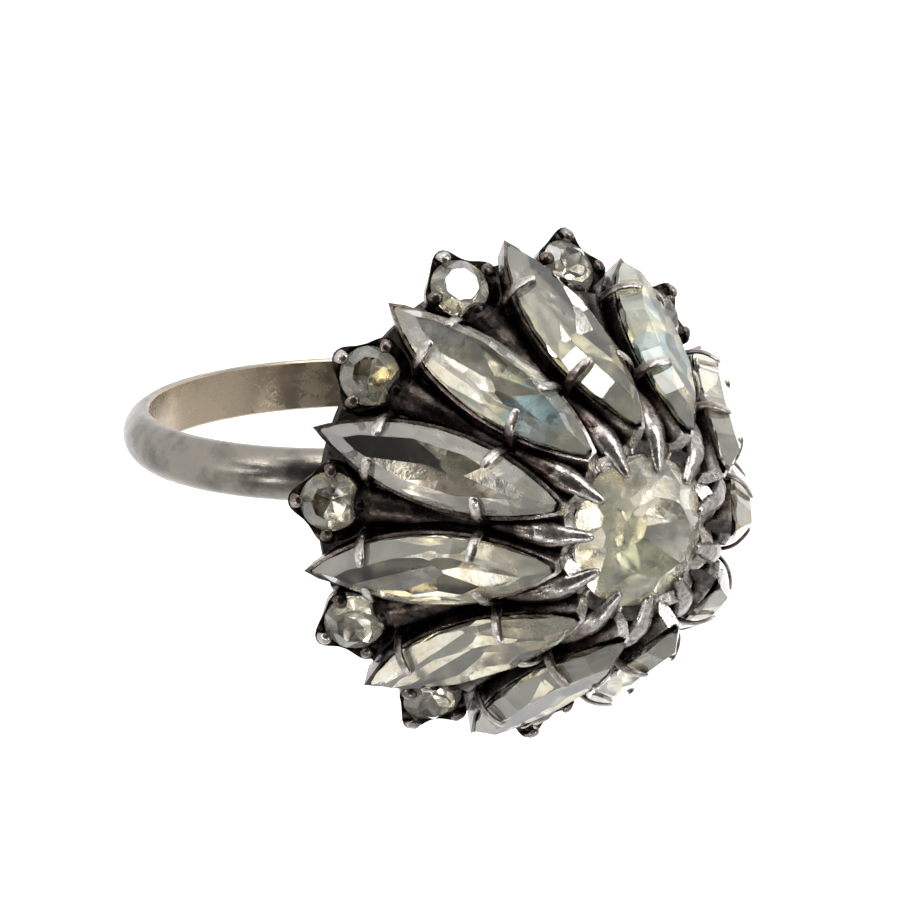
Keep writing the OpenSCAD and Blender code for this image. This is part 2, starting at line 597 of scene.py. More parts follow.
    def span(
        self, first: bpy.types.NodeSocket, second: bpy.types.NodeSocket
    ) -> bpy.types.NodeSocket:
        """Returns the distance from an axis, given the two coordinates across it."""
        squares = self.maths(
            "ADD",
            self.maths("MULTIPLY", first, first),
            self.maths("MULTIPLY", second, second),
        )
        return self.maths("SQRT", squares)

    def height(self) -> bpy.types.NodeSocket:
        """Returns the height above the finger bore's centre, in millimetres."""
        return self.axes()[2]

    def outward(self, radius: float, height: float, slope: float) -> bpy.types.NodeSocket:
        """Height above a cone round z, measured square to its side.

        Args:
            radius: Radius of the cone at that height, in millimetres.
            height: A height on the cone's side.
            slope: Fall of the side, in degrees.
        Returns:
            The height above the cone, in millimetres.
        """
        x, y, z = self.axes()
        across = self.maths("SUBTRACT", self.span(x, y), radius)
        up = self.maths("SUBTRACT", z, height)
        angle = math.radians(slope)
        return self.maths(
            "ADD",
            self.maths("MULTIPLY", across, math.sin(angle)),
            self.maths("MULTIPLY", up, math.cos(angle)),
        )

    def set(self, **values: float) -> None:
        """Sets shader sockets by name, with spaces written as underscores."""
        for name, value in values.items():
            self.shader.inputs[name.replace("_", " ")].default_value = value


@dataclass(frozen=True)
class ShadedAgedMetal:
    """Old plated metal: near black low down between the stones (painted shade, partly tarnish),
    bright on the raised parts and the claws round the centre stone (painted highlight), with
    random patches and grime of its own.
    """

    name: str = "aged_metal"
    recess_shade: tuple[float, float, float] = (0.012, 0.010, 0.009)
    brown: tuple[float, float, float] = (0.11, 0.085, 0.072)
    bright: tuple[float, float, float] = (0.44, 0.41, 0.385)
    low_mm: float = -0.62
    high_mm: float = 0.75
    roughness: tuple[float, float] = (0.16, 0.34)

    def build(self) -> bpy.types.Material:
        """Returns the node material."""
        nodes = Nodes(self.name)
        # Painted shade and highlight: metal that lies low below the dome's surface, between the
        # stones, is painted darker, and raised metal lighter.
        above = nodes.outward(*LAYOUT.middle, LAYOUT.slope)
        side = nodes.levels(above, self.low_mm, self.high_mm, 0.0, 0.75)
        # Painted highlight: the metal is painted lighter towards the top of the dome, on the
        # claws round the centre stone.
        top = nodes.levels(
            nodes.height(), LAYOUT.centre_z - 1.5, LAYOUT.centre_z + 0.1, 0.0, 0.8
        )
        patches = nodes.noise(1.1, 4.0)
        # This mixes the painted shade and highlight above with random patches of wear.
        shade_light_and_wear = nodes.maths(
            "ADD",
            nodes.maths("MAXIMUM", side, top),
            nodes.levels(patches, 0.3, 0.7, -0.15, 0.25),
        )
        # The ramp runs from near-black painted shade low down, through brown, to the bright
        # painted highlight on the raised parts.
        colour = nodes.ramp(shade_light_and_wear, (0.12, self.recess_shade), (0.48, self.brown), (0.85, self.bright))
        grime = nodes.levels(nodes.noise(5.0, 5.0), 0.4, 0.62, 0.0, 0.5)
        colour = nodes.mix(grime, colour, self.brown, "MULTIPLY")
        nodes.join(colour, nodes.shader.inputs["Base Color"])
        rough = nodes.levels(nodes.noise(3.0, 4.0), 0.3, 0.7, *self.roughness)
        nodes.join(rough, nodes.shader.inputs["Roughness"])
        nodes.bump(nodes.noise(9.0, 5.0, 0.6), 0.35, 0.03)
        nodes.set(Metallic=1.0)
        return nodes.material


@dataclass(frozen=True)
class BandMetal:
    """Silver-grey plating, worn warm, with fine scratches along the band."""

    name: str = "band_metal"
    silver: tuple[float, float, float] = (0.175, 0.162, 0.140)
    warm: tuple[float, float, float] = (0.37, 0.305, 0.225)
    dull: tuple[float, float, float] = (0.075, 0.068, 0.058)
    speck: tuple[float, float, float] = (0.20, 0.17, 0.15)
    inside_mm: tuple[float, float] = (8.68, 8.8)
    scratch_stretch: float = 14.0

    def build(self) -> bpy.types.Material:
        """Returns the node material."""
        nodes = Nodes(self.name)
        x, _, z = nodes.axes()
        inside = nodes.levels(nodes.span(x, z), *self.inside_mm, 1.0, 0.0)
        clouds = nodes.noise(0.55, 4.0, 0.6)
        outer = nodes.ramp(clouds, (0.32, self.dull), (0.55, self.silver), (0.8, self.silver))
        colour = nodes.mix(inside, outer, self.warm)
        specks = nodes.levels(nodes.noise(7.0, 6.0, 0.7), 0.58, 0.68, 0.0, 0.35)
        colour = nodes.mix(specks, colour, self.speck)
        nodes.join(colour, nodes.shader.inputs["Base Color"])
        rough = nodes.levels(nodes.noise(1.4, 5.0), 0.3, 0.7, 0.19, 0.33)
        nodes.join(rough, nodes.shader.inputs["Roughness"])
        stretch = nodes.tree.nodes.new("ShaderNodeMapping")
        stretch.inputs["Scale"].default_value = (1.0, self.scratch_stretch, 1.0)
        nodes.join(nodes.place, stretch.inputs["Vector"])
        scratches = nodes.tree.nodes.new("ShaderNodeTexNoise")
        scratches.inputs["Scale"].default_value = 1.6
        scratches.inputs["Detail"].default_value = 8.0
        nodes.join(stretch.outputs["Vector"], scratches.inputs["Vector"])
        nodes.bump(scratches.outputs["Fac"], 0.3, 0.02)
        nodes.set(Metallic=1.0)
        return nodes.material


class FoilTone(Enum):
    """Colours of the old foil behind the stones: main, second and decayed."""

    GREY_GREEN = ((0.27, 0.27, 0.19), (0.44, 0.40, 0.26), (0.07, 0.06, 0.04))
    STRAW = ((0.50, 0.42, 0.25), (0.33, 0.28, 0.17), (0.12, 0.08, 0.04))
    TEAL = ((0.17, 0.25, 0.28), (0.38, 0.36, 0.24), (0.06, 0.06, 0.05))
    SMOKE = ((0.34, 0.31, 0.26), (0.13, 0.11, 0.09), (0.03, 0.025, 0.02))
    CLEAR = ((0.70, 0.67, 0.58), (0.55, 0.50, 0.38), (0.22, 0.18, 0.12))
    GOLD = ((0.90, 0.76, 0.42), (0.66, 0.54, 0.28), (0.18, 0.13, 0.06))
    FRESH = ((0.97, 0.95, 0.92), (0.92, 0.84, 0.70), (0.60, 0.54, 0.40))
    DARK = ((0.06, 0.055, 0.045), (0.12, 0.11, 0.085), (0.02, 0.017, 0.013))


@dataclass(frozen=True)
class Foil:
    """Old silvered foil seen through the stone, toned and spotted with age."""

    tone: FoilTone
    patch_mm: float = 2.2

    def build(self) -> bpy.types.Material:
        """Returns the node material."""
        nodes = Nodes("foil_" + self.tone.name.lower())
        main, second, decayed = self.tone.value
        patches = nodes.noise(1 / self.patch_mm, 3.0, 0.5, 0.6)
        colour = nodes.ramp(patches, (0.44, main), (0.56, second), (1.0, second))
        spots = nodes.levels(nodes.noise(1.7, 6.0, 0.65, 0.4), 0.55, 0.68, 0.0, 0.8)
        colour = nodes.mix(spots, colour, decayed)
        nodes.join(colour, nodes.shader.inputs["Base Color"])
        rough = nodes.levels(nodes.noise(1.4, 3.0), 0.35, 0.7, 0.10, 0.30)
        nodes.join(rough, nodes.shader.inputs["Roughness"])
        nodes.bump(nodes.noise(1.8, 3.0), 0.25, 0.05)
        nodes.set(Metallic=1.0)
        return nodes.material


@dataclass(frozen=True)
class Crystal:
    """Glass with a faint tint and a worn film on its facets."""

    name: str = "crystal"
    tint: tuple[float, float, float] = (0.96, 0.97, 0.94)
    film: tuple[float, float, float] = (0.88, 0.85, 0.77)
    clearness: float = 1.0
    roughness: float = 0.05
    ior: float = 1.56

    def build(self) -> bpy.types.Material:
        """Returns the node material."""
        nodes = Nodes(self.name)
        haze = nodes.levels(nodes.noise(1.5, 5.0), 0.45, 0.75, 0.0, 1.0)
        nodes.join(nodes.mix(haze, self.tint, self.film), nodes.shader.inputs["Base Color"])
        rough = nodes.levels(nodes.noise(4.0, 6.0, 0.7), 0.4, 0.8, 0.0, self.roughness)
        nodes.join(rough, nodes.shader.inputs["Roughness"])
        nodes.set(Transmission_Weight=self.clearness, IOR=self.ior)
        return nodes.material


@dataclass
class Finishes:
    """Every material of the ring, built once."""

    shaded_aged: bpy.types.Material = field(default_factory=lambda: ShadedAgedMetal().build())
    band: bpy.types.Material = field(default_factory=lambda: BandMetal().build())
    crystal: bpy.types.Material = field(default_factory=lambda: Crystal().build())
    worn: bpy.types.Material = field(
        default_factory=lambda: Crystal(
            "worn_crystal", (0.90, 0.89, 0.80), (0.66, 0.61, 0.46), 0.86, 0.07
        ).build()
    )
    foils: dict[FoilTone, bpy.types.Material] = field(
        default_factory=lambda: {tone: Foil(tone).build() for tone in FoilTone}
    )

    def gem(self, tone: FoilTone) -> list[bpy.types.Material]:
        """Returns the materials for one stone, in the order of FoilSlot."""
        return [
            self.crystal, self.foils[tone], self.foils[FoilTone.FRESH],
            self.foils[FoilTone.DARK], self.worn,
        ]


# ---------------------------------------------------------------- sub-assemblies


@dataclass
class Band:
    """The plain band: rounded outside, flat inside, with a solder flat on top."""

    inner_r: float = 8.65
    thickness: float = 1.15
    width: float = 2.24
    wall: float = 0.35
    flat_z: float = 9.5
    segments: int = 192

    def profile(self) -> list[tuple[float, float]]:
        """Returns the section as (radius, offset along the bore), softened at its edges."""
        half = self.width / 2
        rise = self.thickness - self.wall
        crown_r = (half * half + rise * rise) / (2 * rise)
        edge = math.asin(half / crown_r)
        soft = 0.07
        points = [(self.inner_r, -half + soft), (self.inner_r, 0.0), (self.inner_r, half - soft)]
        points += [(self.inner_r + soft, half), (self.inner_r + self.wall - soft, half)]
        centre = self.inner_r + self.thickness - crown_r
        steps = 12
        for i in range(steps + 1):
            angle = edge * (1 - 2 * i / steps) * 0.97
            points.append((centre + crown_r * math.cos(angle), crown_r * math.sin(angle)))
        points += [(self.inner_r + self.wall - soft, -half), (self.inner_r + soft, -half)]
        return points

    def build(self, finishes: Finishes) -> None:
        """Spins the section round the bore and cuts the flat."""
        points = self.profile()
        Bench.clear()
        bpy.ops.mesh.primitive_circle_add(vertices=len(points), radius=1.0)
        band = Bench.take("band")
        for vertex, (radius, along) in zip(band.data.vertices, points):
            vertex.co = (radius, along, 0.0)
        Bench.edit(band)
        bpy.ops.mesh.select_all(action="SELECT")
        bpy.ops.mesh.spin(
            steps=self.segments, angle=math.tau, center=(0, 0, 0), axis=(0, 1, 0)
        )
        Bench.settle(band)
        Bench.edit(band)
        bpy.ops.mesh.select_all(action="SELECT")
        bpy.ops.mesh.bisect(
            plane_co=(0, 0, self.flat_z), plane_no=(0, 0, 1),
            use_fill=True, clear_outer=True, threshold=1e-5,
        )
        Bench.clear()
        Bench.smooth(band, 0, 35.0)
        piece = Bench.place(band, "band_piece", Matrix.Identity(4))
        Bench.drop(band)
        Bench.finish(piece, "band_metal", [finishes.band], "shank")


@dataclass
class Navettes:
    """The eleven long stones and the boat-shaped settings with prongs that hold them.

    A stone's back has rows of facets, each given as tilt, drop below the girdle and
    angles round the outline, and then cross cuts, each given as place along the
    stone, direction and tilt. A cup's top lies below the girdle, so that little metal
    shows beside the stone, and its outer end is drawn up to a point.
    """

    crown: float = 0.75
    pavilion: float = 1.0
    edge: float = 0.08
    blunt: float = 0.3
    tip_cut: float = 0.16
    outline_angles: range = range(-28, 29, 7)
    bevel_angles: tuple[int, ...] = (-25, -13, 0, 13, 25)
    bevel_tilt: float = 47.0
    tip_bevel: tuple[float, float] = (0.05, 24.0)
    heel_bevel: tuple[float, float] = (0.1, 36.0)
    back_rows: tuple[tuple[float, float, tuple[int, ...]], ...] = (
        (44.0, 0.10, (-22, -11, 0, 11, 22)),
        (30.0, 0.28, (-16, -5, 5, 16)),
    )
    cross_cuts: tuple[tuple[float, float, float], ...] = (
        (0.0, 62.0, 17.0), (0.0, -118.0, 15.0), (0.4, 25.0, 12.0), (-0.3, 155.0, 12.0),
        (0.2, -35.0, 15.0), (-0.4, -150.0, 14.0), (2.2, 8.0, 16.0), (-2.0, 188.0, 15.0),
    )
    cup_wall: float = 0.13
    cup_top: float = -0.16
    cup_depth: float = 1.2
    clearance: float = 0.03
    prong_places: tuple[float, ...] = (2.9, -2.2)
    tones: tuple[FoilTone, ...] = (
        FoilTone.TEAL, FoilTone.GREY_GREEN, FoilTone.TEAL, FoilTone.SMOKE, FoilTone.STRAW,
        FoilTone.CLEAR, FoilTone.CLEAR, FoilTone.CLEAR, FoilTone.CLEAR, FoilTone.STRAW,
        FoilTone.SMOKE,
    )

    seeds: tuple[int, ...] = (41, 52, 43, 54, 45, 56, 47, 58, 49, 60, 51)

    @property
    def half(self) -> tuple[float, float]:
        """Half length and half width of a stone."""
        return LAYOUT.navette_length / 2, LAYOUT.navette_width / 2

    def arc(self, grow: float = 0.0) -> tuple[float, float]:
        """Radius of the outline's arcs and half width, grown all round by grow."""
        long, wide = self.half
        return (long * long + wide * wide) / (2 * wide) + grow, wide + grow

    def edge_point(self, angle: float, side: int, grow: float = 0.0) -> tuple[Vector, Vector]:
        """Point and outward normal on the outline.

        Args:
            angle: Degrees round the arc from the middle of the side.
            side: 1 for the +y side, -1 for the other.
            grow: How far outside the stone's outline.
        Returns:
            The point and its unit normal, both at z = 0.
        """
        radius, wide = self.arc(grow)
        a = math.radians(angle)
        normal = Vector((math.sin(a), side * math.cos(a), 0.0))
        return Vector((0.0, side * (wide - radius), 0.0)) + radius * normal, normal

    def cut_stone(self) -> bpy.types.Object:
        """Cuts one navette: stepped outline, bevelled crown, table and keeled back."""
        long, wide = self.half
        cutter = GemCutter("navette_template", 2.4 * long, 4 * wide, 4.0)
        for side in (-1, 1):
            for angle in self.outline_angles:
                point, normal = self.edge_point(angle, side)
                cutter.facet(point, normal)
        cutter.facet((-long + self.blunt, 0, 0), (-1, 0, 0))
        cutter.facet((long - self.tip_cut, 0, 0), (1, 0, 0))
        tilt = math.radians(self.bevel_tilt)
        for side in (-1, 1):
            for angle in self.bevel_angles:
                point, normal = self.edge_point(angle, side)
                sloped = normal * math.sin(tilt) + Z_AXIS * math.cos(tilt)
                cutter.facet(point + self.edge * Z_AXIS, sloped)
            for back_tilt, drop, angles in self.back_rows:
                back = math.radians(back_tilt)
                for angle in angles:
                    point, normal = self.edge_point(angle, side)
                    sloped = normal * math.sin(back) - Z_AXIS * math.cos(back)
                    cutter.facet(point - drop * Z_AXIS, sloped)
        rise, tilt_out = self.tip_bevel
        cutter.facet((long, 0, self.edge + rise), lean(0, tilt_out))
        rise, tilt_out = self.heel_bevel
        cutter.facet((-long + self.blunt, 0, self.edge + rise), lean(180, tilt_out))
        cutter.facet((0, 0, self.crown), (0, 0, 1))
        cutter.facet((0, 0, -self.pavilion), (0, 0, -1))
        for along, turn, tilt_back in self.cross_cuts:
            cutter.facet((along, 0, -self.pavilion), lean(turn, 180 - tilt_back))
        return cutter.done()

    def form_cup(self) -> bpy.types.Object:
        """Forms one boat-shaped cup with a raised outer point, open at the top."""
        long, wide = self.half
        outer = self.clearance + self.cup_wall
        cutter = GemCutter("cup_template", 3 * long, 4 * wide, 2 * self.cup_depth)
        for side in (-1, 1):
            for angle in range(-30, 31, 5):
                point, normal = self.edge_point(angle, side, outer)
                cutter.facet(point, normal)
            for angle in (-24, -8, 8, 24):
                point, normal = self.edge_point(angle, side, outer)
                cutter.facet(point - 0.8 * Z_AXIS, normal * 0.85 - Z_AXIS * 0.5)
        cutter.facet((-long + self.blunt - outer, 0, 0), (-1, 0, 0))
        cutter.facet((0, 0, self.cup_top), (0, 0, 1))
        cup = cutter.stone
        Bench.settle(cup)
        Bench.edit(cup)
        Bench.pick(cup, lambda place: place.z > self.cup_top - 0.01)
        bpy.ops.mesh.inset(thickness=self.cup_wall, depth=0.0)
        bpy.ops.mesh.extrude_region_move(
            TRANSFORM_OT_translate={"value": (0, 0, 0.12 - self.cup_depth - self.cup_top)}
        )
        Bench.pick(cup, lambda place: place.z > self.cup_top - 0.01 and place.x > long - 0.9)
        bpy.ops.transform.translate(value=(-0.05, 0.0, 0.26))
        Bench.clear()
        Bench.settle(cup)
        Bench.smooth(cup, 0, 40.0)
        return cup

    def form_prong(self) -> bpy.types.Object:
        """Forms one flat prong with a rounded end, bent in over the stone's edge."""
        prong = Horn("prong_template", 8).grow(
            (
                (0.42, -1.05, 0.34), (0.36, -0.55, 0.30), (0.28, -0.10, 0.28),
                (0.16, 0.20, 0.27), (-0.02, 0.42, 0.265), (-0.24, 0.61, 0.26),
                (-0.46, 0.77, 0.24), (-0.60, 0.83, 0.17), (-0.64, 0.83, 0.08),
            ),
            flatness=0.36,
        )
        Bench.smooth(prong, 1, 60.0)
        return prong

    def place_prong(self, prong: bpy.types.Object, along: float, side: int) -> bpy.types.Object:
        """Copies the prong to a place on the side of the cup.

        Args:
            prong: The template.
            along: Where along the stone, in millimetres from its middle.
            side: 1 for the +y side, -1 for the other.
        Returns:
            The copy, in millimetres.
        """
        radius, _ = self.arc()
        angle = math.degrees(math.asin(along / radius))
        point, normal = self.edge_point(angle, side)
        turn = math.atan2(normal.y, normal.x)
        return Bench.clone(prong, Matrix.Translation(point) @ Matrix.Rotation(turn, 4, "Z"))

    def build(self, finishes: Finishes) -> None:
        """Makes the eleven stones and their settings."""
        stone = self.cut_stone()
        cup = self.form_cup()
        prong = self.form_prong()
        prongs = [
            self.place_prong(prong, along, side)
            for along in self.prong_places for side in (-1, 1)
        ]
        setting = Bench.join([cup, *prongs], "setting_template")
        for i in range(LAYOUT.petals):
            number = f"{i + 1:02d}"
            matrix = LAYOUT.petal(i + 1)
            gem = Bench.place(stone, f"navette_gem_{number}", matrix)
            GemCutter.vary_foil(gem, 0.26, 0.24, self.seeds[i])
            Bench.finish(
                gem, "navette_glass", finishes.gem(self.tones[i]), f"navette_stone_{number}"
            )
            boat = Bench.place(setting, f"navette_setting_{number}", matrix)
            Bench.finish(boat, "aged_metal", [finishes.shaded_aged], f"navette_cup_{number}")
        Bench.drop(stone, setting, prong)


@dataclass
class RimStones:
    """The eleven small round stones and their star-shaped settings.

    The stone has one row of facets in front and two behind. The corners of the cup
    are drawn up by corner_lift, and point_sharpness says how narrow they are.
    """

    radius: float = 1.2
    crown: float = 0.45
    pavilion: float = 0.85
    edge: float = 0.05
    depth: float = 1.05
    corner_lift: float = 0.3
    point_sharpness: float = 2.5
    sides: int = 8
    front_tilt: float = 37.0
    back_tilts: tuple[float, float] = (40.0, 31.0)
    tones: tuple[FoilTone, ...] = (
        FoilTone.SMOKE, FoilTone.FRESH, FoilTone.GOLD, FoilTone.GOLD, FoilTone.CLEAR,
        FoilTone.CLEAR, FoilTone.CLEAR, FoilTone.STRAW, FoilTone.CLEAR, FoilTone.STRAW,
        FoilTone.FRESH,
    )

    def cut_stone(self) -> bpy.types.Object:
        """Cuts one small round stone with eight facets in front and two rows behind."""
        cutter = GemCutter("rim_stone_template", 4 * self.radius, 4 * self.radius, 4.0)
        cutter.round_off(self.radius, 3 * self.sides)
        steep, shallow = self.back_tilts
        half_turn = 180 / self.sides
        for i in range(self.sides):
            angle = (2 * i + 1) * half_turn
            rim = lean(angle, 90) * self.radius
            cutter.facet(rim + self.edge * Z_AXIS, lean(angle, self.front_tilt))
            cutter.facet(rim - self.edge * Z_AXIS, lean(angle, 180 - steep))
            between = lean(angle + half_turn, 90) * self.radius
            cutter.facet(
                between - 3 * self.edge * Z_AXIS, lean(angle + half_turn, 180 - shallow)
            )
        cutter.facet((0, 0, self.crown), (0, 0, 1))
        cutter.facet((0, 0, -self.pavilion), (0, 0, -1))
        return cutter.done()

    def form_cup(self) -> bpy.types.Object:
        """Forms one star cup: four flared corners with hollow sides between them."""
        levels = (
            (-self.depth, 1.22, 1.22), (-0.7, 1.29, 1.26), (-0.35, 1.42, 1.29),
            (-0.08, 1.58, 1.31), (0.04, 1.68, 1.30),
        )
        segments = 48
        Bench.clear()
        bpy.ops.mesh.primitive_circle_add(vertices=segments, radius=1.0, fill_type="NGON")
        cup = Bench.take("rim_cup_template")
        self.star(cup, levels[0], lambda place: True)
        Bench.edit(cup)
        bpy.ops.mesh.select_all(action="SELECT")
        for level in levels[1:]:
            rise = level[0] - max(vertex.co.z for vertex in cup.data.vertices)
            bpy.ops.mesh.extrude_region_move(TRANSFORM_OT_translate={"value": (0, 0, rise)})
            bpy.ops.object.mode_set(mode="OBJECT")
            self.star(cup, level, lambda place, z=level[0]: abs(place.z - z) < 1e-4)
            bpy.ops.object.mode_set(mode="EDIT")
        top = levels[-1][0]
        Bench.pick(cup, lambda place: place.z > top - 1e-3)
        bpy.ops.mesh.inset(thickness=0.06, depth=0.0)
        inner = self.radius + 0.03
        bpy.ops.object.mode_set(mode="OBJECT")
        for vertex in cup.data.vertices:
            if vertex.select:
                flat = Vector((vertex.co.x, vertex.co.y, 0.0)).normalized() * inner
                vertex.co = (flat.x, flat.y, -0.06)
        bpy.ops.object.mode_set(mode="EDIT")
        bpy.ops.mesh.extrude_region_move(
            TRANSFORM_OT_translate={"value": (0, 0, -self.pavilion + 0.02)}
        )
        Bench.clear()
        Bench.settle(cup)
        Bench.smooth(cup, 0, 45.0)
        return cup

    def star(
        self,
        cup: bpy.types.Object,
        level: tuple[float, float, float],
        test: Callable[[Vector], bool],
    ) -> None:
        """Moves a ring of vertices to a four-cornered outline.

        Args:
            cup: The cup being formed.
            level: Height, radius at the corners and radius between them.
            test: Picks the ring's vertices by place.
        """
        height, corner, waist = level
        for vertex in cup.data.vertices:
            if test(vertex.co):
                angle = math.atan2(vertex.co.y, vertex.co.x)
                swell = abs(math.cos(2 * angle)) ** self.point_sharpness
                radius = waist + (corner - waist) * swell
                lift = self.corner_lift * swell if height > 0 else 0.0
                vertex.co = (radius * math.cos(angle), radius * math.sin(angle), height + lift)

    def form_claw(self) -> bpy.types.Object:
        """Forms one corner claw that ends in a bead over the stone."""
        claw = Horn("rim_claw_template", 8).grow(
            (
                (1.34, -0.5, 0.22), (1.47, -0.1, 0.30), (1.50, 0.18, 0.34),
                (1.43, 0.37, 0.33), (1.28, 0.46, 0.31), (1.12, 0.48, 0.25),
                (1.03, 0.48, 0.14),
            ),
            flatness=0.62,
        )
        Bench.smooth(claw, 1, 60.0)
        return claw

    def build(self, finishes: Finishes) -> None:
        """Makes the eleven rim stones and their settings."""
        stone = self.cut_stone()
        cup = self.form_cup()
        claw = self.form_claw()
        claws = [
            Bench.clone(claw, Matrix.Rotation(math.radians(90 * corner), 4, "Z"))
            for corner in range(4)
        ]
        setting = Bench.join([cup, *claws], "rim_setting_template")
        for i in range(LAYOUT.petals):
            number = f"{i + 1:02d}"
            matrix = LAYOUT.rim(i + 1)
            gem = Bench.place(stone, f"rim_gem_{number}", matrix)
            GemCutter.vary_foil(gem, 0.6, 0.12, 70 + i)
            Bench.finish(
                gem, "rim_glass", finishes.gem(self.tones[i]), f"chaton_stone_{number}"
            )
            star = Bench.place(setting, f"rim_setting_{number}", matrix)
            Bench.finish(star, "aged_metal", [finishes.shaded_aged], f"chaton_cup_{number}")
        Bench.drop(stone, setting, claw)


@dataclass
class CentreStone:
    """The large round stone, its collar and the claws over it."""

    radius: float = 3.05
    crown: float = 1.4
    pavilion: float = 1.4
    edge: float = 0.07
    kites: int = 8
    girdle_tilts: tuple[float, float] = (47.0, 33.0)
    kite_tilts: tuple[float, float] = (42.0, 28.0)
    star_r: float = 1.62
    star_tilt: float = 26.0

    def cut_stone(self) -> bpy.types.Object:
        """Cuts the centre stone: octagonal table, kites, and a pointed back."""
        cutter = GemCutter("centre_template", 3 * self.radius, 3 * self.radius, 5.0)
        cutter.round_off(self.radius, 6 * self.kites)
        half_turn = 180 / self.kites
        girdle = [((i + 0.5) * half_turn, self.girdle_tilts) for i in range(2 * self.kites)]
        for angle, tilts in girdle:
            self.pair(cutter, angle, tilts)
        for i in range(self.kites):
            angle = 2 * i * half_turn
            self.pair(cutter, angle, self.kite_tilts)
            star = lean(angle + half_turn, 90) * self.star_r + self.crown * Z_AXIS
            cutter.facet(star, lean(angle + half_turn, self.star_tilt))
        cutter.facet((0, 0, self.crown), (0, 0, 1))
        cutter.facet((0, 0, -self.pavilion), (0, 0, -1))
        return cutter.done()

    def pair(self, cutter: GemCutter, angle: float, tilts: tuple[float, float]) -> None:
        """Cuts one facet in front of the girdle and one behind it.

        Args:
            cutter: The stone being cut.
            angle: Degrees round the stone.
            tilts: Tilt of the front facet and of the back one, in degrees.
        """
        front, back = tilts
        rim = lean(angle, 90) * self.radius
        cutter.facet(rim + self.edge * Z_AXIS, lean(angle, front))
        cutter.facet(rim - self.edge * Z_AXIS, lean(angle, 180 - back))

    def form_claw(self) -> bpy.types.Object:
        """Forms one claw that runs out of a web and lies on the crown."""
        z = LAYOUT.centre_z
        claw = Horn("claw_template", 12).grow(
            (
                (4.85, z - 1.35, 0.42), (4.55, z - 0.98, 0.54), (4.25, z - 0.58, 0.60),
                (3.95, z - 0.20, 0.58), (3.65, z + 0.06, 0.48), (3.36, z + 0.24, 0.37),
                (3.08, z + 0.37, 0.31), (2.84, z + 0.51, 0.26), (2.64, z + 0.65, 0.21),
                (2.53, z + 0.71, 0.11),
            ),
            flatness=0.8,
        )
        Bench.smooth(claw, 1, 60.0)
        return claw

    def form_collar(self) -> bpy.types.Object:
        """Forms the collar under the claws, scalloped along its top edge."""
        low, high = LAYOUT.centre_z - 1.65, LAYOUT.centre_z + 0.2
        inner, outer = self.radius + 0.03, self.radius + 0.6
        Bench.clear()
        bpy.ops.mesh.primitive_cylinder_add(
            vertices=144, radius=outer, depth=high - low, location=(0, 0, (low + high) / 2),
            end_fill_type="NGON",
        )
        collar = Bench.take("collar_template")
        collar.data.transform(Matrix.Translation(collar.location))
        collar.location = (0, 0, 0)
        Bench.edit(collar)
        Bench.pick(collar, lambda place: place.z > high - 1e-3)
        bpy.ops.mesh.inset(thickness=outer - inner, depth=0.0)
        bpy.ops.mesh.extrude_region_move(
            TRANSFORM_OT_translate={"value": (0, 0, -(high - low) + 0.2)}
        )
        Bench.clear()
        for vertex in collar.data.vertices:
            if vertex.co.z > high - 1e-3:
                angle = math.atan2(vertex.co.y, vertex.co.x)
                wave = 0.5 - 0.5 * math.cos(LAYOUT.petals * angle)
                vertex.co.z += 0.5 * wave ** 0.8 - 0.32
        Bench.settle(collar)
        Bench.smooth(collar, 0, 40.0)
        return collar

    def build(self, finishes: Finishes) -> None:
        """Makes the stone and the claw crown round it."""
        stone = self.cut_stone()
        turn = LAYOUT.spoke(0) @ Matrix.Translation((0, 0, LAYOUT.centre_z))
        gem = Bench.place(stone, "centre_gem", turn)
        GemCutter.vary_foil(gem, 0.45, 0.1, 7)
        Bench.finish(gem, "centre_glass", finishes.gem(FoilTone.GREY_GREEN), "centre_stone")
        claw = self.form_claw()
        parts = [self.form_collar()]
        for i in range(LAYOUT.petals):
            turned = Matrix.Rotation(math.radians((i + 0.5) * LAYOUT.step), 4, "Z")
            parts.append(Bench.clone(claw, turned))
        crown = Bench.join(parts, "claw_crown_template")
        piece = Bench.place(crown, "claw_crown", LAYOUT.spoke(0))
        Bench.finish(piece, "aged_metal", [finishes.shaded_aged], "centre_cup")
        Bench.drop(stone, crown, claw)


@dataclass
class Webs:
    """The smooth ridges of metal between the navettes, on the dome."""

    stations: tuple[tuple[float, float, float], ...] = (
        (4.1, -1.70, 0.45), (3.8, -1.42, 0.75), (3.3, -1.34, 0.98), (2.6, -1.50, 1.00),
        (1.8, -1.58, 0.92), (0.9, -1.55, 0.80), (0.0, -1.45, 0.68), (-0.9, -1.29, 0.57),
        (-1.8, -1.08, 0.50), (-2.7, -0.88, 0.47), (-3.5, -0.72, 0.48), (-4.2, -0.66, 0.50),
        (-4.7, -0.85, 0.44), (-5.0, -1.15, 0.34),
    )

    def build(self, finishes: Finishes) -> None:
        """Makes the eleven ridges and dresses the dome and the gallery."""
        ridge = Horn("web_template", 12).grow(self.stations)
        Bench.smooth(ridge, 1, 80.0)
        for i in range(LAYOUT.petals):
            piece = Bench.place(ridge, f"web_{i + 1:02d}", LAYOUT.petal(i + 0.5))
            Bench.finish(piece, "aged_metal", [finishes.shaded_aged])
        Bench.drop(ridge)
        for node in ("dome", "gallery"):
            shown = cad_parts[node]
            shown.data.materials.clear()
            shown.data.materials.append(finishes.shaded_aged)


# ---------------------------------------------------------------- studio


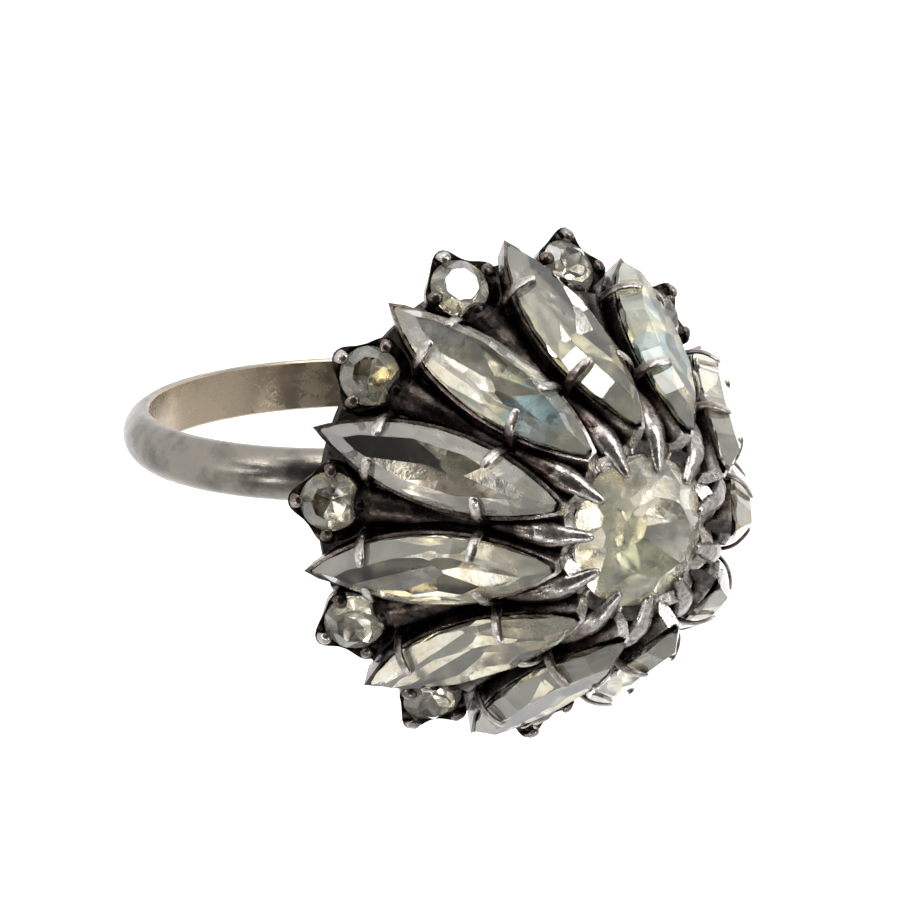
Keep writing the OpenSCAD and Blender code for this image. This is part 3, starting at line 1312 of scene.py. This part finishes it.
@dataclass(frozen=True)
class Studio:
    """Pale floor, soft white light from all sides, and the camera.

    Lights are placed across, above and in front of the ring as the camera sees it,
    in metres: three softboxes, then a ring of small lights that make the stones glint.
    """

    distance_mm: float = 200.0
    back: tuple[float, float, float] = (-0.4955, 0.2276, 0.8383)
    up: tuple[float, float, float] = (0.1350, 0.9735, -0.1845)
    aim_mm: tuple[float, float, float] = (3.887, -1.386, 2.674)
    lens_mm: float = 180.4
    glow: tuple[tuple[float, float], ...] = (
        (0.0, 0.95), (0.3, 0.85), (0.56, 0.40), (0.78, 0.17), (1.0, 0.10)
    )
    boxes: tuple[tuple[str, tuple[float, float, float], float, float], ...] = (
        ("left_box", (-0.3, 0.4, 0.16), 0.22, 1.5),
        ("right_box", (0.32, 0.28, 0.24), 0.12, 0.9),
        ("top_box", (0.0, 0.45, 0.1125), 0.22, 1.1),
    )
    glints: int = 9
    glint_ring: tuple[float, float] = (0.36, 0.27)
    glint_size: float = 0.06
    glint_power: float = 0.24

    def build_floor(self) -> None:
        """Lays the pale floor under the ring."""
        low = CAD_BOX[0].z
        Bench.clear()
        bpy.ops.mesh.primitive_plane_add(size=4.0, location=(0, 0, low - 0.0002))
        floor = Bench.take("floor")
        nodes = Nodes("pale_floor")
        grain = nodes.levels(nodes.noise(0.05), 0.3, 0.7, 0.93, 0.95)
        shade = nodes.tree.nodes.new("ShaderNodeCombineColor")
        for socket in shade.inputs[:3]:
            nodes.join(grain, socket)
        nodes.join(shade.outputs[0], nodes.shader.inputs["Base Color"])
        nodes.set(Roughness=0.9, Emission_Strength=0.55)
        nodes.shader.inputs["Emission Color"].default_value = (1, 1, 1, 1)
        floor.data.materials.append(nodes.material)

    def build_world(self) -> None:
        """Lights the studio: bright round the horizon, dim towards the top."""
        world = bpy.data.worlds.new("studio")
        bpy.context.scene.world = world
        world.use_nodes = True
        tree = world.node_tree
        tree.nodes.clear()
        out = tree.nodes.new("ShaderNodeOutputWorld")
        coordinates = tree.nodes.new("ShaderNodeTexCoord")
        dot = tree.nodes.new("ShaderNodeVectorMath")
        dot.operation = "DOT_PRODUCT"
        dot.inputs[1].default_value = Vector(self.back).normalized()
        tree.links.new(coordinates.outputs["Generated"], dot.inputs[0])
        ramp = tree.nodes.new("ShaderNodeValToRGB")
        elements = ramp.color_ramp.elements
        while len(elements) < len(self.glow):
            elements.new(0.5)
        for element, (place, value) in zip(elements, self.glow):
            element.position = place
            element.color = (value, value, value, 1.0)
        tree.links.new(dot.outputs["Value"], ramp.inputs["Fac"])
        seen = tree.nodes.new("ShaderNodeBackground")
        seen.inputs["Color"].default_value = (1, 1, 1, 1)
        seen.inputs["Strength"].default_value = 1.0
        lit = tree.nodes.new("ShaderNodeBackground")
        lit.inputs["Strength"].default_value = 1.1
        tree.links.new(ramp.outputs["Color"], lit.inputs["Color"])
        path = tree.nodes.new("ShaderNodeLightPath")
        mix = tree.nodes.new("ShaderNodeMixShader")
        tree.links.new(path.outputs["Is Camera Ray"], mix.inputs[0])
        tree.links.new(lit.outputs[0], mix.inputs[1])
        tree.links.new(seen.outputs[0], mix.inputs[2])
        tree.links.new(mix.outputs[0], out.inputs["Surface"])

    def softbox(self, name: str, place: Vector, size: float, power: float) -> None:
        """Adds one soft square light that faces the ring.

        Args:
            name: Name of the light.
            place: Where it stands, in metres.
            size: Side of the square, in metres.
            power: Its power, in watts.
        """
        data = bpy.data.lights.new(name, "AREA")
        data.shape = "SQUARE"
        data.size = size
        data.energy = power
        lamp = bpy.data.objects.new(name, data)
        bpy.context.scene.collection.objects.link(lamp)
        lamp.location = place
        lamp.rotation_euler = (-place).to_track_quat("-Z", "Y").to_euler()

    def build_camera(self) -> None:
        """Places the camera."""
        back = Vector(self.back).normalized()
        place = back * self.distance_mm * MM
        aim = Vector(self.aim_mm) * MM
        z_axis = (place - aim).normalized()
        x_axis = Vector(self.up).cross(z_axis).normalized()
        y_axis = z_axis.cross(x_axis)
        turn = Matrix((x_axis, y_axis, z_axis)).transposed().to_4x4()
        data = bpy.data.cameras.new("camera")
        data.lens = self.lens_mm
        data.sensor_width = 36.0
        data.clip_start, data.clip_end = 0.01, 20.0
        camera = bpy.data.objects.new("camera", data)
        camera.matrix_world = Matrix.Translation(place) @ turn
        bpy.context.scene.collection.objects.link(camera)
        bpy.context.scene.camera = camera

    def build(self) -> None:
        """Builds the whole studio."""
        self.build_camera()
        self.build_floor()
        self.build_world()
        right = Vector(self.up).cross(Vector(self.back)).normalized()
        up = Vector(self.up).normalized()
        back = Vector(self.back).normalized()
        for name, (across, upward, near), size, power in self.boxes:
            self.softbox(name, right * across + up * upward + back * near, size, power)
        reach, near = self.glint_ring
        for i in range(self.glints):
            turn = 20 + i * 360 // self.glints
            a = math.radians(turn)
            place = (right * math.cos(a) + up * math.sin(a)) * reach + back * near
            self.softbox(f"glint_{turn:03d}", place, self.glint_size, self.glint_power)
        bpy.context.scene.view_settings.view_transform = "Standard"


def main() -> None:
    logging.basicConfig(level=logging.INFO, format="%(name)s: %(message)s")
    Studio().build()
    finishes = Finishes()
    for part in (Band(), Navettes(), RimStones(), CentreStone(), Webs()):
        part.build(finishes)
        LOG.info("finished %s", type(part).__name__)
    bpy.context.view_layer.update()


if __name__ == "__main__":
    main()
